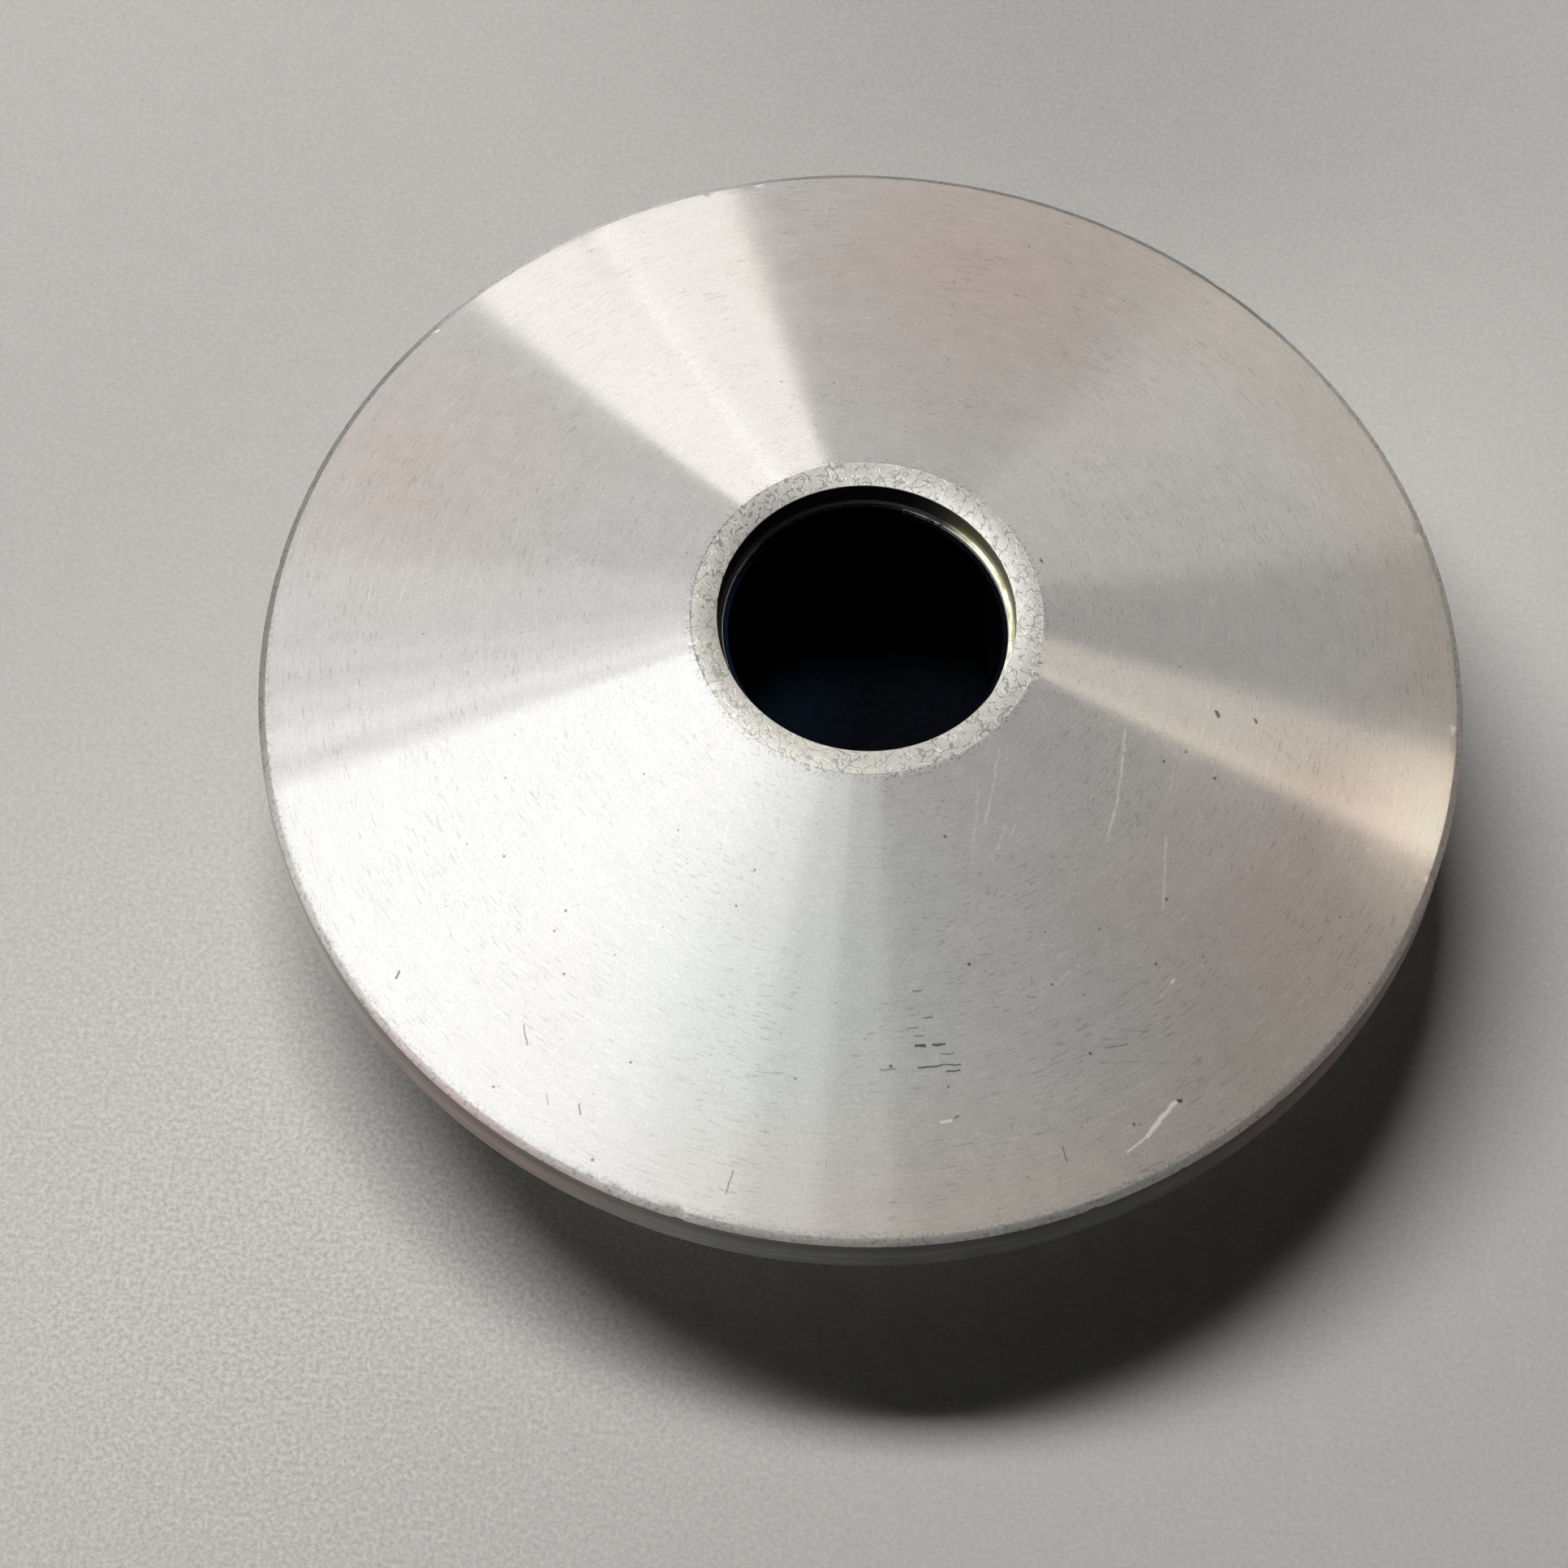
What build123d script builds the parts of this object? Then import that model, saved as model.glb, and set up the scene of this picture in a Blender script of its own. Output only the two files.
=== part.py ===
from build123d import *
import math
import os

# A turned aluminium flange with a conical nose, made in one piece on a lathe.
# The part's axis is Z. Its origin is the centre of the spigot's end face, on
# which it stands, and +Z points out through the nose. Sizes are millimetres.

# Flange and nose
rim_diameter = 70.0        # across the cylindrical land, the widest place
rim_thickness = 3.4        # from the flange's underside to the edge of the cone
rim_bevel_width = 0.4      # bevel between the cone and the land, across the radius
rim_bevel_depth = 0.3      # and along the axis, a little flatter than 45 degrees
rim_edge_break = 0.2       # 45 degree break on the land's lower edge
cone_slope = 18.0          # degrees, measured from the flange's plane

# Stepped bore, from the mouth inwards
lip_width = 1.55           # flat face left round the mouth
mouth_depth = 1.6          # counterbore at the mouth
ledge_width = 0.35         # bare ledge at the foot of the counterbore
seat_depth = 0.3           # step below the ledge
seat_width = 0.3           # narrow seat at the foot of that step
bore_diameter = 15.7       # straight blind bore below the seat
bore_floor = 9.5           # metal left between the bore and the spigot's end face

# Spigot behind the flange
spigot_diameter = 42.0
spigot_length = 10.0       # from its end face to the flange's underside
spigot_chamfer = 0.8       # lead-in on the end
spigot_root_radius = 0.4   # nose radius that the turning tool leaves

# Radii that follow
rim_radius = rim_diameter / 2
cone_edge_radius = rim_radius - rim_bevel_width
spigot_radius = spigot_diameter / 2
bore_radius = bore_diameter / 2
throat_radius = bore_radius + seat_width
mouth_radius = throat_radius + ledge_width
lip_radius = mouth_radius + lip_width

# Heights above the spigot's end face that follow
cone_edge_height = spigot_length + rim_thickness
land_top_height = cone_edge_height - rim_bevel_depth
cone_rise = (cone_edge_radius - lip_radius) * math.tan(math.radians(cone_slope))
lip_height = cone_edge_height + cone_rise
ledge_height = lip_height - mouth_depth
seat_height = ledge_height - seat_depth


def flange_section():
    """Half section of the solid body, from the axis out to the rim."""
    spigot_root = (spigot_radius, spigot_length)
    spigot_end = (spigot_radius, 0)
    underside_edge = (rim_radius, spigot_length)
    with BuildSketch(Plane.XZ) as section:
        with BuildLine():
            Polyline(
                (0, 0),
                spigot_end,
                spigot_root,
                underside_edge,
                (rim_radius, land_top_height),
                (cone_edge_radius, cone_edge_height),
                (lip_radius, lip_height),
                (0, lip_height),
                close=True,
            )
        make_face()
        fillet(corner(section, spigot_root), radius=spigot_root_radius)
        chamfer(corner(section, spigot_end), length=spigot_chamfer)
        chamfer(corner(section, underside_edge), length=rim_edge_break)
    return section.sketch


def bore_section():
    """Half section of the stepped blind bore that is turned out of the body."""
    with BuildSketch(Plane.XZ) as section:
        with BuildLine():
            Polyline(
                (0, bore_floor),
                (bore_radius, bore_floor),
                (bore_radius, seat_height),
                (throat_radius, seat_height),
                (throat_radius, ledge_height),
                (mouth_radius, ledge_height),
                (mouth_radius, lip_height),
                (0, lip_height),
                close=True,
            )
        make_face()
    return section.sketch


def corner(section, place):
    """The section's corner that lies at a radius and height."""
    radius, height = place
    return section.vertices().sort_by_distance(Vector(radius, 0, height))[0]


def conical_flange():
    with BuildPart() as flange:
        add(flange_section())
        revolve(axis=Axis.Z)
        add(bore_section())
        revolve(axis=Axis.Z, mode=Mode.SUBTRACT)
    return flange.part


os.makedirs("parts", exist_ok=True)
flange = conical_flange()
export_step(flange, "parts/conical_flange.step")
print(f"lip height {lip_height:.4f} mm, volume {flange.volume:.1f} mm3")
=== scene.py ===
# %% [markdown]
# # A turned aluminium flange with a conical nose
# The real thing is one piece of bare aluminium from a lathe. A thin round
# flange rises to the middle as a shallow cone, and the cone ends in a flat lip
# round a stepped bore coloured near-black. Behind the flange a plain spigot
# carries it.
# Everything below sits in the frame of the imported CAD model: metres, the axis
# on Z, and the spigot's end face on the floor at Z = 0.

# %% Load the imported frame
import math
import random

import bmesh
import bpy
from mathutils import Matrix, Vector


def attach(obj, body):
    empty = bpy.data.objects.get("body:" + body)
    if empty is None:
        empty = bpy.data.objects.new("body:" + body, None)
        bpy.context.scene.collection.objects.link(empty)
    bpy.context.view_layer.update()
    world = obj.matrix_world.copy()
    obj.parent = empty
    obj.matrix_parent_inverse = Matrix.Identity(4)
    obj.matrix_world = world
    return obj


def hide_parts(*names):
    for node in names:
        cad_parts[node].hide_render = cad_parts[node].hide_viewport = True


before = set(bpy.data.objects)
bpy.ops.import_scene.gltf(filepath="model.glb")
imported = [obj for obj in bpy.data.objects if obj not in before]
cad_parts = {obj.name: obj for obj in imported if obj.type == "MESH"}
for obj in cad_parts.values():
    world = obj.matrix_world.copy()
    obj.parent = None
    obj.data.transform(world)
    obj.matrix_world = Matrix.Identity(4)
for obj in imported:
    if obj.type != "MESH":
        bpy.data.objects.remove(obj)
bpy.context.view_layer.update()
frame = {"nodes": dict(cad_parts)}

MM = 0.001
print("packed nodes:", ", ".join(frame["nodes"]))

# %% [markdown]
# ## The camera
# The part is seen from above and in front, at about 63 degrees, through a long
# lens. The camera could be placed by eye, but the rim, the lip and the bore are
# three circles of known size and height, and only one place, aim and lens draws
# all three as they look. A small roll tilts the picture's horizon.

# %% Place the camera
camera_place = Vector((0.0, -138.34, 279.77)) * MM
camera_aim = Vector((-4.03, -7.01, 13.4)) * MM
camera_roll = math.radians(2.65)

lens = bpy.data.cameras.new("camera")
lens.lens = 118.57
lens.sensor_width = 36.0
lens.clip_start = 0.01
camera = bpy.data.objects.new("camera", lens)
bpy.context.scene.collection.objects.link(camera)
aimed = (camera_aim - camera_place).to_track_quat("-Z", "Y").to_matrix()
rolled = aimed @ Matrix.Rotation(camera_roll, 3, "Z")
camera.matrix_world = Matrix.Translation(camera_place) @ rolled.to_4x4()
bpy.context.scene.camera = camera
print("camera", [round(v, 3) for v in camera_place], "lens", lens.lens)

# %% [markdown]
# ## The turned body
# A lathe makes this shape by turning a section round an axis, and Spin does the
# same to a few vertices. The section is the CAD model's own, so the finished
# mesh fills the same space. Three extra rings on the lip and cone lie on its
# straight lines. They change nothing by themselves, but later a nick in an edge
# stays between the edge and its ring instead of creasing the whole cone.

# %% Spin the half section, from the bore's floor up and back down outside
section_corners = [
    (0.00, 9.5),        # bore floor, on the axis
    (7.85, 9.5),
    (7.85, 19.4768),    # bore wall
    (8.15, 19.4768),    # narrow seat
    (8.15, 19.7768),    # step up to the ledge
    (8.50, 19.7768),    # ledge
    (8.50, 21.3768),    # mouth wall
    (9.85, 21.3768),    # ring inside the lip's edge
    (10.05, 21.3768),   # lip
    (10.40, 21.2631),   # ring below the lip
    (34.20, 13.5300),   # ring above the rim
    (34.60, 13.4),      # cone
    (35.00, 13.1),      # bevel
    (35.00, 10.2),      # land
    (34.80, 10.0),      # lower break
    (21.40, 10.0),      # underside
    (21.12, 9.88),      # root radius
    (21.00, 9.6),
    (21.00, 0.8),       # spigot
    (20.20, 0.0),       # lead-in
    (0.00, 0.0),        # foot face
]
TURNS = 768
SAME_PLACE = 1e-7

body = bmesh.new()
corners = [body.verts.new((r * MM, 0.0, z * MM)) for r, z in section_corners]
walls = [body.edges.new(pair) for pair in zip(corners, corners[1:])]
bmesh.ops.spin(
    body, geom=corners + walls, cent=(0, 0, 0), axis=(0, 0, 1),
    angle=2 * math.pi, steps=TURNS, use_merge=True)
bmesh.ops.remove_doubles(body, verts=body.verts, dist=SAME_PLACE)
bmesh.ops.recalc_face_normals(body, faces=body.faces)
print("spun", len(body.verts), "vertices,", len(body.faces), "faces")

# %% [markdown]
# ## Broken edges
# The turner leaves every edge crisp but not razor sharp. A Bevel modifier would
# do, but the operator lets us pick only the edges that run round the axis. The
# band is a few hundredths of a millimetre wide, and it is what catches light.

# %% Break the turned edges
smallest_corner = math.radians(10)


def is_turned_corner(edge):
    """An edge that runs round the axis where the section really turns."""
    a, b = edge.verts
    level = abs(a.co.z - b.co.z) < SAME_PLACE
    same_radius = abs(a.co.xy.length - b.co.xy.length) < SAME_PLACE
    return level and same_radius and edge.calc_face_angle(0.0) > smallest_corner


edge_break = 0.045 * MM
turned_corners = [e for e in body.edges if is_turned_corner(e)]
bmesh.ops.bevel(
    body, geom=turned_corners, offset=edge_break, offset_type="OFFSET",
    segments=2, profile=0.5, affect="EDGES", material=-1)
print("broke", len(turned_corners), "edge pieces;", len(body.faces), "faces")

# %% [markdown]
# ## Nicks and an uneven ledge
# Handling leaves tiny dents along the lip's outer edge and the rim, and the
# boring bar has cut the ledge a tenth of a millimetre wider on one side, where
# it starts with a small step. Both are moves of a few vertices. The dents come
# from a seeded random generator, so each run makes the same ones.

# %% Dent the edges
dents = random.Random(11)
dent_reach = 0.08 * MM
shortest, shallowest = 0.35, 0.3    # shares of the widest and the deepest dent
sink = 0.6                          # how far a dent goes down for each step inwards


def angle_of(vertex):
    return math.atan2(vertex.co.y, vertex.co.x)


def dent_edge(radius, height, count, deepest, widest):
    """Pushes short stretches of one turned edge inwards and down (mm)."""
    band = [v for v in body.verts
            if abs(v.co.xy.length - radius * MM) < dent_reach
            and abs(v.co.z - height * MM) < dent_reach]
    for _ in range(count):
        middle = dents.uniform(-math.pi, math.pi)
        half = dents.uniform(shortest, 1.0) * widest / radius / 2
        depth = dents.uniform(shallowest, 1.0) * deepest * MM
        for vertex in band:
            away = math.remainder(angle_of(vertex) - middle, 2 * math.pi) / half
            if abs(away) < 1:
                push = depth * (1 - away * away)
                outward = vertex.co.xy.normalized()
                vertex.co.x -= outward.x * push
                vertex.co.y -= outward.y * push
                vertex.co.z -= push * sink
    return len(band)


edges_to_dent = {       # radius, height, count, deepest, widest
    "lip": (10.05, 21.3768, 26, 0.03, 0.4),
    "rim": (34.6, 13.4, 60, 0.05, 0.8),
    "land": (35.0, 13.1, 30, 0.04, 1.0),
}
for name, dented in edges_to_dent.items():
    print(name, "edge:", dent_edge(*dented), "vertices")

# %% Widen the ledge's step on one side
step_radius, step_reach, step_above = 8.15 * MM, 0.06 * MM, 19 * MM
step_start = math.radians(78.4)
step_fade = math.radians(75.0)
step_width = 0.12 * MM
for vertex in body.verts:
    radius = vertex.co.xy.length
    if abs(radius - step_radius) < step_reach and vertex.co.z > step_above:
        past = (angle_of(vertex) - step_start) / step_fade
        if 0 < past < 1:
            vertex.co.xy *= 1 + step_width * (1 - past) / radius
print("ledge step", round(step_width / MM, 2), "mm")

# %% [markdown]
# ## The finished piece
# The mesh becomes one object that stands for the CAD node. Smooth shading with
# weighted normals keeps the long cone true right up to its narrow broken edges.

# %% Make the object
flange_mesh = bpy.data.meshes.new("turned_flange")
body.to_mesh(flange_mesh)
body.free()
flange = bpy.data.objects.new("turned_flange", flange_mesh)
bpy.context.scene.collection.objects.link(flange)
for face in flange_mesh.polygons:
    face.use_smooth = True
even_shading = flange.modifiers.new("even_shading", "WEIGHTED_NORMAL")
even_shading.weight = 80
even_shading.keep_sharp = True
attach(flange, "root")
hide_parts("conical_flange")
print("turned flange:", len(flange_mesh.polygons), "faces")

# %% [markdown]
# ## A bench for finishes
# Every finish below is a small network of nodes. Placing them one by one is
# slow to read, so this helper adds a node, joins its inputs and hands back its
# output. Lengths on the bench are millimetres in the part's own frame. A noise
# gives values about 0.5 and seldom leaves the range from 0.3 to 0.7.

# %% Helpers that add and join nodes
NOISE_RANGE = (0.3, 0.7)
UP = (0.0, 0.0, 1.0)


class Bench:
    """Adds nodes to one finish and joins them."""

    def __init__(self, tree):
        self.tree = tree

    def feed(self, socket, value):
        """Joins an output to a socket, or writes a plain value there."""
        if isinstance(value, bpy.types.NodeSocket):
            self.tree.links.new(value, socket)
        else:
            socket.default_value = value

    def math(self, operation, *values, clamp=False):
        node = self.tree.nodes.new("ShaderNodeMath")
        node.operation = operation
        node.use_clamp = clamp
        for socket, value in zip(node.inputs, values):
            self.feed(socket, value)
        return node.outputs[0]

    def times(self, first, second):
        return self.math("MULTIPLY", first, second)

    def plus(self, first, second):
        return self.math("ADD", first, second)

    def vector(self, operation, *values):
        node = self.tree.nodes.new("ShaderNodeVectorMath")
        node.operation = operation
        for socket, value in zip(node.inputs, values):
            self.feed(socket, value)
        number = operation in ("LENGTH", "DOT_PRODUCT", "DISTANCE")
        return node.outputs["Value" if number else "Vector"]

    def scaled(self, vector, amount):
        node = self.tree.nodes.new("ShaderNodeVectorMath")
        node.operation = "SCALE"
        self.feed(node.inputs[0], vector)
        self.feed(node.inputs["Scale"], amount)
        return node.outputs[0]

    def moved(self, vector, x, y):
        """Another part of the same pattern."""
        return self.vector("ADD", vector, (x, y, 0.0))

    def flat(self, place):
        """A place seen along the axis."""
        return self.vector("MULTIPLY", place, (1.0, 1.0, 0.0))

    def spread(self, value, low, high, to_low=0.0, to_high=1.0):
        """Maps a range of values to another smoothly, and stops at its ends."""
        node = self.tree.nodes.new("ShaderNodeMapRange")
        node.interpolation_type = "SMOOTHSTEP"
        self.feed(node.inputs["Value"], value)
        names = ("From Min", "From Max", "To Min", "To Max")
        for name, number in zip(names, (low, high, to_low, to_high)):
            self.feed(node.inputs[name], number)
        return node.outputs["Result"]

    def noise(self, where, scale, detail=1.0, roughness=0.5, output="Fac"):
        node = self.tree.nodes.new("ShaderNodeTexNoise")
        self.feed(node.inputs["Vector"], where)
        node.inputs["Scale"].default_value = scale
        node.inputs["Detail"].default_value = detail
        node.inputs["Roughness"].default_value = roughness
        return node.outputs[output]

    def mixed(self, under, over, amount):
        """Lays one colour over another."""
        node = self.tree.nodes.new("ShaderNodeMix")
        node.data_type = "RGBA"
        self.feed(node.inputs["Factor"], amount)
        for name, colour in (("A", under), ("B", over)):
            socket = [s for s in node.inputs if s.name == name and s.type == "RGBA"][0]
            plain = not isinstance(colour, bpy.types.NodeSocket)
            self.feed(socket, (*colour, 1.0) if plain else colour)
        return [s for s in node.outputs if s.type == "RGBA"][0]


def new_finish(name, metallic, roughness):
    """A material with its bench, its shader, and its places in millimetres."""
    finish = bpy.data.materials.new(name)
    finish.use_nodes = True
    bench = Bench(finish.node_tree)
    shader = finish.node_tree.nodes["Principled BSDF"]
    shader.inputs["Metallic"].default_value = metallic
    shader.inputs["Roughness"].default_value = roughness
    coordinates = finish.node_tree.nodes.new("ShaderNodeTexCoord")
    per_metre = 1 / MM
    place = bench.vector("MULTIPLY", coordinates.outputs["Object"], (per_metre,) * 3)
    return finish, bench, shader, place


print("bench ready")

# %% [markdown]
# ## Round the axis
# Turning marks run round the axis, and a plain noise can't follow them. Here
# each point's direction from the axis is stretched a little and its distance
# from the axis a lot. Noise read at that place draws short strokes that lie
# along the circle, with no seam, because a direction has none.

# %% Coordinates that follow the turning


def round_the_axis(bench, place, along, across):
    """A place for noise whose strokes run round the axis of a face or a cone."""
    flat = bench.flat(place)
    radius = bench.vector("LENGTH", flat)
    outward = bench.vector("NORMALIZE", flat)
    depth = bench.scaled((0.0, 0.0, across), radius)
    return bench.vector("ADD", bench.scaled(outward, along), depth)


def round_a_wall(bench, place, along, across):
    """The same for a wall parallel to the axis."""
    outward = bench.vector("NORMALIZE", bench.flat(place))
    depth = bench.vector("MULTIPLY", place, (0.0, 0.0, across))
    return bench.vector("ADD", bench.scaled(outward, along), depth)


def gloss_across_grooves(bench, shader, place):
    """Stretches the gloss across the grooves, so lamps show as fans of light."""
    bench.feed(shader.inputs["Tangent"], bench.flat(place))
    shader.inputs["Anisotropic"].default_value = 1.0


def add_relief(bench, shader, height):
    """Bump from a height in millimetres."""
    bump = bench.tree.nodes.new("ShaderNodeBump")
    bump.inputs["Distance"].default_value = MM
    bump.inputs["Strength"].default_value = 1.0
    bench.feed(bump.inputs["Height"], height)
    bench.feed(shader.inputs["Normal"], bump.outputs["Normal"])
    return bump.outputs["Normal"]


print("turning coordinates ready")

# %% [markdown]
# ## Marks
# Wear isn't even. Most of it is scattered by noise, but the larger scratches,
# dashes and pits have their own places. Each is a short straight piece, and a
# shader can measure its distance from such a piece with a few vector nodes. A
# little noise is added to the place first, so no mark is ruler straight.

# %% Helpers that draw single marks


def scratch(bench, where, points, width, strength=1.0):
    """How much of a scratch through some points (mm) there is at a place."""
    shown = []
    for start, end in zip(points, points[1:]):
        run = Vector((end[0] - start[0], end[1] - start[1], 0.0))
        offset = bench.vector("SUBTRACT", where, (start[0], start[1], 0.0))
        share = bench.vector("DOT_PRODUCT", offset, tuple(run / run.length_squared))
        share = bench.math("ADD", share, 0.0, clamp=True)
        gap = bench.vector("DISTANCE", offset, bench.scaled(tuple(run), share))
        core, fringe = width * 0.25, width * 0.75
        shown.append(bench.spread(gap, core, fringe, strength, 0.0))
    return strongest(bench, shown)


def strongest(bench, values):
    """The largest of several amounts at a place."""
    result = values[0]
    for value in values[1:]:
        result = bench.math("MAXIMUM", result, value)
    return result


def patch(bench, where, middle, size):
    """A soft round patch, 1 in its middle and 0 beyond its size (mm)."""
    gap = bench.vector("DISTANCE", where, (middle[0], middle[1], 0.0))
    return bench.spread(gap, 0.0, size, 1.0, 0.0)


def facing(bench, place, turn, narrow, wide):
    """1 where the axis sees a place in one direction, fading to 0 to each side (degrees)."""
    outward = bench.vector("NORMALIZE", bench.flat(place))
    middle = (math.cos(math.radians(turn)), math.sin(math.radians(turn)), 0.0)
    towards = bench.vector("DOT_PRODUCT", outward, middle)
    return bench.spread(towards, math.cos(math.radians(wide)), math.cos(math.radians(narrow)))


def shift(bench, amounts):
    """How much lighter or darker some patterns, each about its middle value, make a metal."""
    total = 1.0 - sum(middle * amount for _, middle, amount in amounts)
    for pattern, _, amount in amounts:
        total = bench.math("MULTIPLY_ADD", pattern, amount, total)
    return total


print("mark helpers ready")

# %% [markdown]
# ## The cone's finish
# The cone is fine turned at about a fifth of a millimetre a turn, and then
# rubbed by handling. Its grooves throw light sideways in fans, while the rubbed
# skin between them scatters it all ways. One shader can't do both, so two are
# mixed: a tight one stretched across the grooves, and a broad haze.

# %% Cone: scattered grain and strokes
groove_roughness = 0.16
cone_finish, bench, shader, place = new_finish("fine_turned_cone", 1.0, groove_roughness)
flat_place = bench.flat(place)
out_here = bench.vector("LENGTH", flat_place)

grain = bench.noise(place, 6.5, detail=2.0)
speckle = bench.noise(place, 6.0, detail=2.0)
clouds = bench.noise(place, 0.75, detail=2.0)
strokes = bench.noise(round_the_axis(bench, place, 30.0, 8.5), 1.0, detail=1.5)
feed_rings = bench.noise(round_the_axis(bench, place, 3.0, 5.08), 1.0, detail=0.0)
stroke_patches = bench.noise(bench.moved(flat_place, 40.0, 0.0), 0.16, detail=1.0)

busy = bench.spread(stroke_patches, 0.35, 0.65, -0.045, 0.045)
stroke_level = bench.plus(strokes, busy)
dark_strokes = bench.spread(stroke_level, 0.61, 0.76)
light_strokes = bench.spread(stroke_level, 0.38, 0.25)
print("cone patterns: grain, speckle, clouds, strokes, rings")

# %% Cone: scattered pits


def scattered_pits(bench, where, cell, share, size):
    """Small round pits, one at most in each cell (mm), in a share of the cells."""
    spots = bench.tree.nodes.new("ShaderNodeTexVoronoi")
    spots.voronoi_dimensions = "2D"
    bench.feed(spots.inputs["Vector"], where)
    spots.inputs["Scale"].default_value = 1.0 / cell
    pick = bench.vector("DOT_PRODUCT", spots.outputs["Color"], (1.0, 0.0, 0.0))
    grown = bench.vector("DOT_PRODUCT", spots.outputs["Color"], (0.0, size / cell, 0.0))
    kept = bench.math("LESS_THAN", pick, share)
    inside = bench.math("SUBTRACT", grown, spots.outputs["Distance"])
    dot = bench.spread(inside, 0.0, 0.3 * size / cell)
    return bench.times(dot, kept)


pits = strongest(bench, [
    scattered_pits(bench, flat_place, cell=3.3, share=0.5, size=0.08),
    scattered_pits(bench, bench.moved(flat_place, 9.0, 5.0), cell=1.7, share=0.4, size=0.05),
])
print("pits of two sizes")

# %% [markdown]
# ## The cone's own scratches
# These are the marks that someone would know this piece by: pale handling
# scratches to the right of the mouth, two groups of dark dashes low on the
# cone, and one bright gouge near the rim. Each has its points in millimetres
# from the axis, its width and its strength.

# %% Cone: places of the single marks
pale_scratches = [
    ([(15.03, -5.06), (15.00, -7.16), (14.84, -9.24), (14.36, -11.65)], 0.16, 0.55),
    ([(7.94, -7.56), (7.78, -9.63), (7.47, -11.76)], 0.14, 0.35),
    ([(8.61, -11.66), (8.25, -13.12)], 0.15, 0.45),
    ([(9.14, -11.65), (8.95, -12.28)], 0.13, 0.4),
    ([(6.98, -10.2), (6.81, -14.2)], 0.14, 0.22),
    ([(17.73, -10.85), (17.80, -14.84)], 0.17, 0.4),
    ([(17.97, -6.51), (17.82, -8.15)], 0.13, 0.3),
    ([(18.58, -18.86), (17.81, -20.03)], 0.12, 0.4),
    ([(12.78, -19.1), (12.08, -20.01)], 0.11, 0.3),
]
gouges = [
    ([(19.15, -25.38), (18.42, -26.33), (17.67, -27.44)], 0.25, 1.0),
    ([(17.67, -27.44), (17.19, -27.95), (16.67, -28.45)], 0.13, 0.8),
    ([(6.19, -28.06), (6.72, -27.88)], 0.16, 1.0),
    ([(18.66, -18.72), (18.56, -18.90)], 0.14, 0.9),
]
dark_dashes = [
    ([(4.45, -24.17), (4.97, -24.09)], 0.15, 0.85),
    ([(5.42, -24.02), (6.01, -23.89)], 0.14, 0.8),
    ([(4.69, -25.31), (5.95, -25.10)], 0.10, 0.8),
    ([(5.95, -25.04), (6.99, -24.89)], 0.10, 0.65),
    ([(6.30, -25.35), (6.98, -25.22)], 0.11, 0.7),
    ([(5.90, -24.47), (6.65, -24.35)], 0.10, 0.5),
    ([(4.09, -21.31), (4.53, -21.22)], 0.10, 0.5),
    ([(4.79, -22.65), (5.31, -22.57)], 0.10, 0.5),
    ([(4.37, -23.66), (4.82, -23.59)], 0.11, 0.5),
    ([(3.95, -23.26), (4.55, -23.18)], 0.10, 0.45),
    ([(2.60, -25.62), (3.45, -25.45)], 0.10, 0.5),
    ([(15.02, -23.03), (16.21, -22.64)], 0.10, 0.4),
    ([(14.61, -22.58), (15.90, -22.47)], 0.09, 0.25),
    ([(15.86, -21.93), (17.38, -21.80)], 0.09, 0.25),
    ([(14.77, -23.87), (17.18, -23.45)], 0.09, 0.25),
    ([(19.24, -25.30), (19.42, -25.24)], 0.20, 1.0),
    ([(6.98, -27.72), (7.14, -27.65)], 0.12, 0.6),
    ([(13.0, -28.6), (13.3, -29.3)], 0.11, 0.45),
    ([(-24.76, -20.87), (-24.9, -21.25)], 0.14, 0.8),
    ([(-17.37, -23.96), (-17.14, -25.03)], 0.11, 0.55),
    ([(-13.91, -28.20), (-13.82, -28.72)], 0.12, 0.6),
    ([(-15.81, -27.70), (-15.67, -28.27)], 0.10, 0.4),
    ([(-5.11, -31.47), (-5.38, -32.64)], 0.10, 0.5),
    ([(10.4, -20.9), (10.9, -20.85)], 0.10, 0.35),
]
big_specks = [
    ([(20.28, -2.70), (20.40, -2.92)], 0.22, 0.9),
    ([(22.56, -2.62), (22.64, -2.74)], 0.18, 0.8),
    ([(9.66, 4.60), (9.78, 4.48)], 0.17, 0.8),
]
pit_places = [
    (7.12, -19.53, 0.17), (5.27, -12.84, 0.13), (17.38, -6.4, 0.13), (20.37, -6.75, 0.16),
    (17.97, -14.31, 0.14), (17.58, -18.02, 0.12), (14.21, -23.44, 0.14), (11.8, -20.01, 0.11),
    (6.43, -26.14, 0.11), (18.63, -5.55, 0.12), (3.17, -25.37, 0.15), (16.9, -26.9, 0.14),
    (-15.59, -17.67, 0.14), (-16.14, -18.79, 0.12), (-19.37, -14.5, 0.13), (-15.38, -21.17, 0.13),
    (-18.81, -27.33, 0.13), (-12.93, -31.18, 0.15), (-11.25, -25.92, 0.13), (-5.18, -15.42, 0.12),
    (-6.06, -17.37, 0.12),
]
print("single marks:", len(pale_scratches + gouges + dark_dashes + big_specks + pit_places))

# %% Cone: draw the single marks


def moved_by_noise(bench, place, scale, detail, reach):
    """A place that a noise moves a little (mm), seen along the axis."""
    wander = bench.noise(place, scale, detail=detail, output="Color")
    wander = bench.scaled(bench.vector("SUBTRACT", wander, (0.5, 0.5, 0.5)), reach)
    return bench.flat(bench.vector("ADD", place, wander))


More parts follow.
